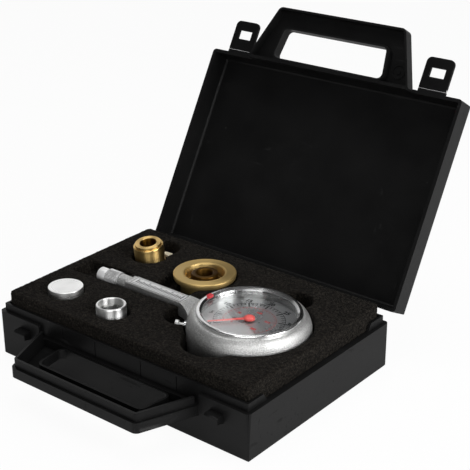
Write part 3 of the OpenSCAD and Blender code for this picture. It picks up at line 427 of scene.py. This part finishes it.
# %% [markdown]
# The gauge hangs in a frame of its own: its body leans in the foam. The axis of
# the pointer gives that frame's upright, and the axis of the union nut gives the
# line of the arm, so everything printed on the gauge is placed from these two.

# %% The gauge's own frame
upright = -Vector(joints["pointer_turn"]["axis"]).normalized()
rightward = -Vector(joints["nut_turn"]["axis"]).normalized()
onward = upright.cross(rightward)
dial_centre = Vector(joints["pointer_turn"]["pos_m"])
gauge_frame = Matrix.Translation(dial_centre) @ Matrix(
    (rightward, onward, upright)
).transposed().to_4x4()


def in_gauge(name):
    """A node's vertices in the gauge's frame, one row each."""
    into = gauge_frame.inverted()
    return np.array([into @ vertex.co for vertex in nodes[name].data.vertices])


dial_top = in_gauge("dial_plate")[:, 2].max()
print("dial top", round(dial_top, 5), "m above the pointer's pivot")

# %% [markdown]
# The body is sand-cast aluminium, cleaned but not polished: bright, a little
# cloudy, with a fine gritty skin. It is one metal shader whose roughness and
# colour drift in soft patches. The grit is in the bump, which breaks reflections
# up, and in the colour, where single grains sparkle.

# %% Cast aluminium
cast, tree, shader = new_finish("cast_aluminium", Metallic=1.0)
skin = place_group(tree, cast_group, Scale=1300.0)
scuffs = place_group(tree, scuff_group, Scale=90.0, Share=0.35)["Mask"]
tone = blend_colours(
    tree, skin["Tone"], (0.38, 0.38, 0.375, 1), (0.48, 0.48, 0.475, 1)
)
sparkle = maths(tree, "MULTIPLY", skin["Grit"], 0.7)
tone = blend_colours(tree, sparkle, tone, (0.79, 0.79, 0.78, 1))
tone = blend_colours(tree, scuffs, tone, (0.70, 0.70, 0.70, 1))
put(tree, shader.inputs["Base Color"], tone)
put(
    tree, shader.inputs["Roughness"], spread(tree, skin["Tone"], 0.0, 1.0, 0.54, 0.46)
)
put(tree, shader.inputs["Normal"], bump(tree, skin["Height"], 0.34 * MM, 0.7))
dress(cast, "gauge_body")

# %% [markdown]
# Turned pieces share one way of being made: a metal shader, rings from the lathe
# as a faint bump and as streaks in roughness. The tool's grooves run round the
# axis, so they stretch highlights along it. What differs is the metal, how far it
# is brushed and where the axis lies, so one function makes them all. Inside a
# given radius about the axis, bores and recesses get painted shade: the colour
# is darker there, and deeper in hue.


# %% Turned metal
PITCH, GROOVE = 5200.0, 0.008 * MM
BAND_SHADE = 0.86
# painted shade in bores: the width of its soft edge, and the power that deepens its hue
BORE_SHADE_EDGE, BORE_SHADE_HUE = 0.4 * MM, 2.2


def turned_finish(
    name, colour, rough, centre, axis, metal=1.0, brushed=0.6, inside=0.0, bore_shade=0.2
):
    material, tree, shader = new_finish(
        name, Metallic=metal, Anisotropic=brushed, Anisotropic_Rotation=0.25
    )
    around = tree.nodes.new("ShaderNodeTangent")
    around.direction_type = "RADIAL"
    around.axis = "X" if abs(axis[0]) > 0.7 else "Z"
    put(tree, shader.inputs["Tangent"], around.outputs[0])
    rings = place_group(
        tree, lathe_group, Centre=tuple(centre), Axis=tuple(axis), Pitch=PITCH
    )
    scuffs = place_group(tree, scuff_group, Scale=120.0, Share=0.4)["Mask"]
    tone = blend_colours(tree, rings["Bands"], shade(colour, BAND_SHADE), shade(colour))
    # painted shade: inside the given radius the colour turns darker and deeper in hue,
    # for the shade in bores and recesses
    if inside:
        bore_shade_colour = [channel ** BORE_SHADE_HUE for channel in colour]
        bore_shaded = spread(tree, rings["Radius"], inside, inside - BORE_SHADE_EDGE)
        tone = blend_colours(tree, bore_shaded, tone, shade(bore_shade_colour, bore_shade))
    put(tree, shader.inputs["Base Color"], tone)
    streaks = spread(tree, rings["Bands"], 0.3, 0.7, rough * 0.8, rough * 1.25)
    put(tree, shader.inputs["Roughness"], maths(tree, "ADD", streaks, scuffs))
    put(tree, shader.inputs["Normal"], bump(tree, rings["Lines"], GROOVE, 0.6))
    return material


def middle(name):
    low, high = (np.array(corner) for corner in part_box(name))
    return tuple(float(value) for value in (low + high) / 2)


print("turned metal ready")

# %% Turned pieces in sight
UP = (0.0, 0.0, 1.0)
ARM = tuple(rightward)
CHROME = (0.80, 0.80, 0.80)
mounts = {mount["name"]: mount for mount in frame["record"]["mounts"]}
lean = tuple(mounts["fitting_bore"]["axis"])

# metal, brushed and the painted bore shade are shares; inside is the radius of a bore
# darkened by painted shade
for name, colour, rough, axis, metal, brushed, inside, bore_shade in (
    ("flange_adaptor", (0.70, 0.50, 0.20), 0.45, UP, 0.9, 0.5, 14.7 * MM, 0.2),
    ("brass_fitting", (0.86, 0.60, 0.23), 0.38, lean, 1.0, 0.85, 6.6 * MM, 0.2),
    ("plug_cap", (0.98, 0.98, 0.97), 0.34, UP, 1.0, 0.5, 0.0, 0.0),
    ("ring_bush", (0.92, 0.92, 0.91), 0.42, UP, 1.0, 0.9, 8.7 * MM, 0.45),
    ("bezel_ring", CHROME, 0.20, tuple(upright), 1.0, 0.6, 0.0, 0.0),
    ("reflector_ring", (0.52, 0.52, 0.51), 0.22, tuple(upright), 1.0, 0.6, 0.0, 0.0),
    ("union_nut", (0.78, 0.78, 0.78), 0.40, ARM, 0.8, 0.6, 0.0, 0.0),
    ("connector_tip", (0.95, 0.95, 0.95), 0.45, ARM, 0.35, 0.6, 0.0, 0.0),
):
    centre = dial_centre if axis == tuple(upright) else middle(name)
    finish = turned_finish(
        f"turned_{name}", colour, rough, centre, axis, metal, brushed, inside, bore_shade
    )
    dress(finish, name)

# %% [markdown]
# The button, its bush and spring, and the movement behind the dial are small
# steel and brass pieces. They are mostly hidden, and they still get real metal.

# %% Small metal pieces
STEEL = (0.62, 0.63, 0.65)
BRASS = (0.78, 0.55, 0.21)

steel = turned_finish("turned_steel", STEEL, 0.26, dial_centre, tuple(upright))
brass = turned_finish("turned_brass", BRASS, 0.28, dial_centre, tuple(upright))
dress(
    steel, "hinge_pins", "socket_screws", "movement_screws", "hairspring",
    "sector_arbor", "pinion_arbor", "release_bush", "release_spring",
)
button_metal = turned_finish(
    "turned_button", (0.88, 0.88, 0.87), 0.40, dial_centre, ARM, metal=0.6, brushed=0.0
)
dress(button_metal, "release_button")
dress(
    brass, "socket_block", "bourdon_tube", "bourdon_tip", "movement_plate_lower",
    "movement_plate_upper", "movement_pillars", "sector_gear", "connecting_link",
)
ease_edges(0.2 * MM, "flange_adaptor", "connector_tip", "release_button")

# %% [markdown]
# The dial is a sheet of aluminium with a silver lacquer that looks slightly hazy.
# The pointer and the dab of sealing paint on the bezel are red: one a smooth
# enamel, the other darker and laid on thick, so its edges are rounded.

# %% Dial, pointer and sealing paint
silver = grained_finish(
    "dial_silver", 5200.0,
    (shade((0.38, 0.38, 0.39)), shade((0.46, 0.46, 0.47))),
    (0.26, 0.34), depth=0.02 * MM, strength=0.4, Metallic=0.85,
)
dress(silver, "dial_plate")


def red_finish(name, colour, rough, gloss):
    return grained_finish(
        name, 3500.0, (shade(colour, 0.8), shade(colour)), (rough, rough + 0.1),
        depth=0.02 * MM, Coat_Weight=gloss, Coat_Roughness=0.1,
    )


dress(red_finish("pointer_red", (0.72, 0.09, 0.08), 0.34, 0.2), "pointer")
dress(red_finish("sealing_paint", (0.55, 0.01, 0.02), 0.38, 0.15), "bezel_seal")
ease_edges(0.6 * MM, "bezel_seal")

# %% [markdown]
# The lens is clear and slightly reflective. Glass that is only refractive would
# keep the lamps off the dial below, so rays that look for a lamp pass straight
# through, and all other rays see real glass. Its gasket is plain black rubber.

# %% Lens
glass, tree, shader = new_finish(
    "lens_glass", Base_Color=(0.97, 0.985, 0.98, 1), Transmission_Weight=1.0, IOR=1.46
)
smudges = place_group(tree, grain_group, Scale=300.0)
put(tree, shader.inputs["Roughness"], spread(tree, smudges["Tone"], 0, 1, 0.0, 0.03))
rays = tree.nodes.new("ShaderNodeLightPath")
clear = tree.nodes.new("ShaderNodeBsdfTransparent")
either = blend_shaders(
    tree, rays.outputs["Is Shadow Ray"], shader.outputs[0], clear.outputs[0]
)
put(tree, tree.nodes["Material Output"].inputs["Surface"], either)
dress(glass, "lens")

# %% Gasket
rubber = grained_finish(
    "gasket_rubber", 1800.0,
    (shade((0.012, 0.012, 0.012)), shade((0.022, 0.022, 0.021))),
    (0.6, 0.75), depth=0.04 * MM, Specular_IOR_Level=0.3,
)
dress(rubber, "lens_gasket")

# %% [markdown]
# A fibre washer is pressed paper: cream, dull, with darker fibres all through it.

# %% Fibre washer
fibre, tree, shader = new_finish("pressed_fibre", Specular_IOR_Level=0.3)
mat = place_group(tree, scuff_group, Scale=180.0, Share=0.7)["Mask"]
skin = place_group(tree, cast_group, Scale=1300.0)
tone = blend_colours(tree, skin["Tone"], (0.78, 0.68, 0.50, 1), (0.92, 0.84, 0.66, 1))
tone = blend_colours(tree, mat, tone, (0.60, 0.50, 0.34, 1))
put(tree, shader.inputs["Base Color"], tone)
put(tree, shader.inputs["Roughness"], spread(tree, skin["Tone"], 0, 1, 0.7, 0.85))
put(tree, shader.inputs["Normal"], bump(tree, skin["Height"], 0.08 * MM, 0.6))
dress(fibre, "fibre_washer")

# %% [markdown]
# Print is ink with a little body, so each mark is a thin closed solid that lies
# on its plate. A painted texture could also do it, but marks with edges stay
# crisp from any side. Each scale is one mesh.


# %% Flat marks
INK = 0.04 * MM


def add_mark(bm, outline, base):
    """A flat closed solid from an outline of (x, y) points, standing on height base."""
    low = [bm.verts.new((x, y, base)) for x, y in outline]
    high = [bm.verts.new((x, y, base + INK)) for x, y in outline]
    bm.faces.new(list(reversed(low)))
    bm.faces.new(high)
    for k in range(len(outline)):
        n = (k + 1) % len(outline)
        bm.faces.new((low[k], low[n], high[n], high[k]))


def bar_outline(bearing, inner, outer, width):
    """A straight radial mark, as four corners."""
    turn = math.radians(bearing)
    out = Vector((math.cos(turn), math.sin(turn)))
    side = Vector((-out.y, out.x)) * width / 2
    return [tuple(p) for p in (
        out * inner - side, out * outer - side, out * outer + side, out * inner + side
    )]


def arc_outline(start, end, inner, outer, steps=60):
    """A band along a circle between two bearings."""
    turns = [math.radians(start + (end - start) * k / steps) for k in range(steps + 1)]
    near = [(inner * math.cos(t), inner * math.sin(t)) for t in turns]
    far = [(outer * math.cos(t), outer * math.sin(t)) for t in reversed(turns)]
    return far + near


print("marks stand", INK, "m high")


# %% Numbers
BOLD = 0.2 * MM


def add_number(bm, text, size, centre, base):
    """A number set in Blender's own font, turned into a mesh."""
    curve = bpy.data.curves.new("number", "FONT")
    curve.body = text
    curve.size = size
    curve.align_x = curve.align_y = "CENTER"
    curve.extrude = INK / 2
    curve.offset = BOLD
    curve.resolution_u = 3
    writer = bpy.data.objects.new("number", curve)
    bpy.context.scene.collection.objects.link(writer)
    bpy.context.view_layer.update()
    seen = writer.evaluated_get(bpy.context.evaluated_depsgraph_get())
    mesh = bpy.data.meshes.new_from_object(seen)
    mesh.transform(Matrix.Translation((centre[0], centre[1], base + INK / 2)))
    bm.from_mesh(mesh)
    bpy.data.objects.remove(writer)
    bpy.data.curves.remove(curve)
    bpy.data.meshes.remove(mesh)


print("numbers are bold by", BOLD, "m")


# %% Ink
def finish_print(name, bm, material):
    """Moves the marks onto the gauge and makes them a piece that rides on it."""
    bmesh.ops.recalc_face_normals(bm, faces=bm.faces)
    mesh = bpy.data.meshes.new(name)
    bm.to_mesh(mesh)
    bm.free()
    mesh.transform(gauge_frame)
    mesh.materials.append(material)
    piece = bpy.data.objects.new(name, mesh)
    bpy.context.scene.collection.objects.link(piece)
    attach(piece, "gauge")
    print(name, len(mesh.polygons), "faces")


def ink_finish(name, colour):
    faded = [1.5 * channel + 0.01 for channel in colour]
    return grained_finish(
        name, 6000.0, (shade(colour), shade(faded)), (0.4, 0.55), Specular_IOR_Level=0.1
    )


black_ink = ink_finish("black_ink", (0.008, 0.008, 0.009))
red_ink = ink_finish("red_ink", (0.34, 0.05, 0.05))

# %% [markdown]
# The dial carries two scales: a black one outside with numbers near the rim, and
# a red one inside. Both start at the bearing where the pointer rests and run
# clockwise over its travel. Radii, widths and heights are in millimetres.

# %% Black scale
ZERO, SWEEP = 228.0, 270.0
MAJORS, MINORS = 8, 5
LONG_FROM, LONG_WIDTH = 20.0, 1.1
SHORT_FROM, SHORT_WIDTH = 22.0, 0.65
BLACK_RING = 24.6, 24.95
NUMBERS_AT, NUMBER_HEIGHT, NUMBER_STEP = 28.0, 5.2, 5


def on_dial(bearing, radius):
    turn = math.radians(bearing)
    return (radius * math.cos(turn), radius * math.sin(turn))


bm = bmesh.new()
for k in range(MAJORS * MINORS + 1):
    bearing = ZERO - SWEEP * k / (MAJORS * MINORS)
    long = k % MINORS == 0
    inner, width = (LONG_FROM, LONG_WIDTH) if long else (SHORT_FROM, SHORT_WIDTH)
    mark = bar_outline(bearing, inner * MM, BLACK_RING[0] * MM, width * MM)
    add_mark(bm, mark, dial_top)
ring = [radius * MM for radius in BLACK_RING]
add_mark(bm, arc_outline(ZERO, ZERO - SWEEP, *ring), dial_top)
for k in range(MAJORS + 1):
    spot = on_dial(ZERO - SWEEP * k / MAJORS, NUMBERS_AT * MM)
    add_number(bm, str(NUMBER_STEP * k), NUMBER_HEIGHT * MM, spot, dial_top)
finish_print("dial_scale_black", bm, black_ink)

# %% Red scale
RED_MARKS, RED_EACH = 28, 7
RED_LONG_FROM, RED_SHORT_FROM, RED_WIDTH = 15.4, 16.8, 0.3
RED_RING = 18.4, 18.6
RED_NUMBERS_AT, RED_NUMBER_HEIGHT, RED_NUMBER_STEP = 12.4, 2.8, 70

bm = bmesh.new()
for k in range(RED_MARKS + 1):
    bearing = ZERO - SWEEP * k / RED_MARKS
    long = k % RED_EACH == 0
    inner = RED_LONG_FROM if long else RED_SHORT_FROM
    mark = bar_outline(bearing, inner * MM, RED_RING[0] * MM, RED_WIDTH * MM)
    add_mark(bm, mark, dial_top)
    if long:
        spot = on_dial(bearing, RED_NUMBERS_AT * MM)
        number = str(k // RED_EACH * RED_NUMBER_STEP)
        add_number(bm, number, RED_NUMBER_HEIGHT * MM, spot, dial_top)
ring = [radius * MM for radius in RED_RING]
add_mark(bm, arc_outline(ZERO, ZERO - SWEEP, *ring), dial_top)
finish_print("dial_scale_red", bm, red_ink)

# %% [markdown]
# The arm's label is a strip of bright metal foil with a printed frame. Only plain
# marks go on it: a border and a row of graduations.

# %% Label foil
foil = grained_finish(
    "label_foil", 4000.0,
    (shade((0.57, 0.57, 0.57)), shade((0.65, 0.65, 0.65))),
    (0.3, 0.42), depth=0.02 * MM, strength=0.4, Metallic=0.2,
)
dress(foil, "label_plate")

# %% Label marks
EDGE, LINE = 0.9 * MM, 0.4 * MM
TICKS, TALL_EACH, MEDIUM_EACH = 24, 6, 3
TICK_WIDTH, TICK_INSET, TICK_FOOT = 0.8 * MM, 4 * MM, 2.6 * MM
TALL, MEDIUM, SHORT = 5.2 * MM, 4.2 * MM, 3.2 * MM

spots = in_gauge("label_plate")
(x0, y0, _), (x1, y1, label_top) = spots.min(axis=0), spots.max(axis=0)


def box_outline(xa, xb, ya, yb):
    return [(xa, ya), (xb, ya), (xb, yb), (xa, yb)]


bm = bmesh.new()
for y in (y0 + EDGE, y1 - EDGE - LINE):
    add_mark(bm, box_outline(x0 + EDGE, x1 - EDGE, y, y + LINE), label_top)
for x in (x0 + EDGE, x1 - EDGE - LINE):
    side = box_outline(x, x + LINE, y0 + EDGE + LINE, y1 - EDGE - LINE)
    add_mark(bm, side, label_top)
for k in range(TICKS + 1):
    x = x0 + TICK_INSET + (x1 - x0 - 2 * TICK_INSET) * k / TICKS
    tall = TALL if k % TALL_EACH == 0 else (MEDIUM if k % MEDIUM_EACH == 0 else SHORT)
    foot = y0 + TICK_FOOT
    add_mark(bm, box_outline(x, x + TICK_WIDTH, foot, foot + tall), label_top)
finish_print("label_marks", bm, black_ink)

# %% [markdown]
# Foam is soft, so its CAD block is only a stand-in. The real insert is open-cell
# foam cut with a blade: flat on top, a little ragged where the blade went through,
# slightly rounded at every cut. A copy of the block is rebuilt from small voxels,
# relaxed, and then roughened point by point with smooth noise. Cloth would swell
# it, and die-cut foam doesn't swell, so it is shaped directly.

# %% Foam finish
foam, tree, shader = new_finish(
    "open_cell_foam", Specular_IOR_Level=0.03, Sheen_Weight=0.012, Sheen_Roughness=0.6
)
cells = place_group(tree, cell_group, Scale=1000.0)
tone = blend_colours(
    tree, cells["Tone"], (0.0030, 0.0026, 0.0022, 1), (0.0240, 0.0208, 0.0170, 1)
)
specks = place_group(tree, speck_group, Scale=260.0, Size=0.1)["Mask"]
tone = blend_colours(tree, specks, tone, (0.07, 0.066, 0.06, 1))
put(tree, shader.inputs["Base Color"], tone)
put(tree, shader.inputs["Roughness"], spread(tree, cells["Tone"], 0, 1, 1.0, 0.85))
put(tree, shader.inputs["Normal"], bump(tree, cells["Height"], 0.4 * MM, 0.7))
print("finish", foam.name)

# %% Ragged surface
RAGGED = (0.4, 420), (0.6, 900)


def roughen(mesh, depth):
    """Moves points along their normals by noise: shares of coarse and of fine waves."""
    size = len(mesh.vertices) * 3
    normals, points = np.empty(size), np.empty(size)
    mesh.vertex_normals.foreach_get("vector", normals)
    mesh.vertices.foreach_get("co", points)
    normals, points = normals.reshape(-1, 3), points.reshape(-1, 3)
    height = np.array([
        sum(share * noise.noise(Vector(p) * pitch) for share, pitch in RAGGED)
        for p in points
    ])
    points += normals * (height * depth)[:, None]
    mesh.vertices.foreach_set("co", points.ravel())
    mesh.update()


print("ragged waves", RAGGED)


# %% Foam pieces
def soft_copy(name, piece_name, voxel, rough):
    """A foam copy of a CAD block: voxels, rounded cuts, then a ragged surface."""
    mesh = nodes[name].data.copy()
    piece = bpy.data.objects.new(piece_name, mesh)
    bpy.context.scene.collection.objects.link(piece)
    weld = piece.modifiers.new("weld", "WELD")
    weld.merge_threshold = WELD
    voxels = piece.modifiers.new("voxels", "REMESH")
    voxels.mode = "VOXEL"
    voxels.voxel_size = voxel
    relax = piece.modifiers.new("relax", "SMOOTH")
    relax.factor, relax.iterations = 0.5, 2
    bpy.context.view_layer.update()
    shaped = piece.evaluated_get(bpy.context.evaluated_depsgraph_get())
    mesh = bpy.data.meshes.new_from_object(shaped)
    piece.modifiers.clear()
    piece.data = mesh
    mesh.name = piece_name
    roughen(mesh, rough)
    mesh.shade_smooth()
    mesh.materials.clear()
    mesh.materials.append(foam)
    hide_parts(name)
    print(piece_name, len(mesh.polygons), "faces")
    return piece


insert = soft_copy("foam_insert", "foam_insert_soft", 1.0 * MM, 0.42 * MM)
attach(insert, "foam")
pad = soft_copy("foam_pad", "foam_pad_soft", 3.0 * MM, 0.3 * MM)
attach(pad, "base")
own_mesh(pad)

# %% [markdown]
# The button's spring has to shorten as the button goes in, which a CAD solid
# can't do. A steel copy stands for it and rides with the gauge; each point's
# reach along the button's own axis is worked out, but the copy is not squeezed.

# %% Spring copy
press = joints["button_press"]
push = Vector(press["axis"]).normalized()
coil = bpy.data.objects.new("release_spring_soft", nodes["release_spring"].data.copy())
bpy.context.scene.collection.objects.link(coil)
coil.data.materials.clear()
coil.data.materials.append(steel)
reach = [push.dot(vertex.co) for vertex in coil.data.vertices]
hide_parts("release_spring")
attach(coil, "gauge")
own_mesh(coil)

# %% [markdown]
# The world looks white to the camera, to mirrors and to glass, and lends only
# modest light to everything else. A dark flag on the left gives round metal a
# darker side.

# %% World
WHITE = (1.0, 1.0, 1.0, 1)
AMBIENT = 0.12
SWEEP_TOP, CEILING_FROM, CEILING = 0.05, 0.22, 0.07
SWEEP_SIDE, SWEEP_RISE = (-0.70, 0.71, 0.0), 0.50
RISE_FROM, RISE_FULL = 0.25, 0.65
FLAG_SIDE, FLAG_SHARE = (-0.774, -0.633, 0.0), 0.25
FLAG_FROM, FLAG_FULL = 0.2, 0.75

world = bpy.data.worlds.new("studio")
bpy.context.scene.world = world
world.use_nodes = True
tree = world.node_tree
tree.nodes.clear()
rays = tree.nodes.new("ShaderNodeLightPath")
seen = rays.outputs["Is Camera Ray"]
for kind in ("Is Glossy Ray", "Is Transmission Ray"):
    seen = maths(tree, "MAXIMUM", seen, rays.outputs[kind])
ambient = tree.nodes.new("ShaderNodeBackground")
ambient.inputs["Color"].default_value = WHITE
ambient.inputs["Strength"].default_value = AMBIENT
white = tree.nodes.new("ShaderNodeBackground")
white.inputs["Color"].default_value = WHITE
sky = tree.nodes.new("ShaderNodeTexCoord").outputs["Generated"]
direction = tree.nodes.new("ShaderNodeSeparateXYZ")
put(tree, direction.inputs[0], sky)
toward = vector_maths(tree, "DOT_PRODUCT", sky, SWEEP_SIDE)
rise = spread(tree, toward, RISE_FROM, RISE_FULL, 0.0, SWEEP_RISE)
height = maths(tree, "SUBTRACT", direction.outputs["Z"], rise)
flagged = vector_maths(tree, "DOT_PRODUCT", sky, FLAG_SIDE)
level = spread(tree, flagged, FLAG_FROM, FLAG_FULL, 1.0, FLAG_SHARE)
fade = spread(tree, height, SWEEP_TOP, CEILING_FROM, level, CEILING)
strength = maths(tree, "MAXIMUM", rays.outputs["Is Camera Ray"], fade)
put(tree, white.inputs["Strength"], strength)
either = blend_shaders(tree, seen, ambient.outputs[0], white.outputs[0])
output = tree.nodes.new("ShaderNodeOutputWorld")
put(tree, output.inputs["Surface"], either)
print("world", world.name)

# %% [markdown]
# The floor is white paper.

# %% Floor
FLOOR_HALF, FLOOR_DROP = 12.0, 0.2 * MM
FLOOR_WHITE, FLOOR_MIRRORED = 0.95, 0.3

mesh = bpy.data.meshes.new("floor")
corners = [
    (x * FLOOR_HALF, y * FLOOR_HALF, -FLOOR_DROP)
    for x, y in ((-1, -1), (1, -1), (1, 1), (-1, 1))
]
mesh.from_pydata(corners, [], [(0, 1, 2, 3)])
floor = bpy.data.objects.new("floor", mesh)
bpy.context.scene.collection.objects.link(floor)
paper, tree, shader = new_finish("white_paper", Specular_IOR_Level=0.0)
fleck = cloud(tree, here(tree), 900.0, 2.0)
tone = blend_colours(tree, fleck, (0.80, 0.80, 0.80, 1), (0.84, 0.84, 0.84, 1))
put(tree, shader.inputs["Base Color"], tone)
put(tree, shader.inputs["Roughness"], spread(tree, fleck, 0, 1, 0.85, 1.0))
rays = tree.nodes.new("ShaderNodeLightPath")
mirrored = maths(
    tree, "MAXIMUM", rays.outputs["Is Glossy Ray"], rays.outputs["Is Transmission Ray"]
)
direct = maths(tree, "MULTIPLY", rays.outputs["Is Camera Ray"], FLOOR_WHITE)
mirrored = maths(tree, "MULTIPLY", mirrored, FLOOR_MIRRORED)
seen = maths(tree, "MAXIMUM", direct, mirrored)
glow = tree.nodes.new("ShaderNodeEmission")
glow.inputs["Strength"].default_value = 1.0
either = blend_shaders(tree, seen, shader.outputs[0], glow.outputs[0])
put(tree, tree.nodes["Material Output"].inputs["Surface"], either)
mesh.materials.append(paper)
print("floor", 2 * FLOOR_HALF, "m wide")

# %% [markdown]
# They are large for their distance, so shadows and highlights are soft.

# %% Lamps
AIM = Vector((0.0, 0.0, 0.06))


def softbox(name, place, size, watts):
    light = bpy.data.lights.new(name, "AREA")
    light.shape = "RECTANGLE"
    light.size, light.size_y = size
    light.energy = watts
    lamp = bpy.data.objects.new(name, light)
    bpy.context.scene.collection.objects.link(lamp)
    lamp.location = place
    lamp.rotation_euler = (AIM - Vector(place)).to_track_quat("-Z", "Y").to_euler()
    print(name, watts, "W")


softbox("softbox_right", (1.2, 0.15, 0.6), (0.8, 0.7), 15.0)
softbox("softbox_above", (-0.15, 0.1, 1.4), (0.8, 0.8), 7.0)
softbox("softbox_front", (0.70, -1.1, 0.50), (1.0, 0.8), 8.0)
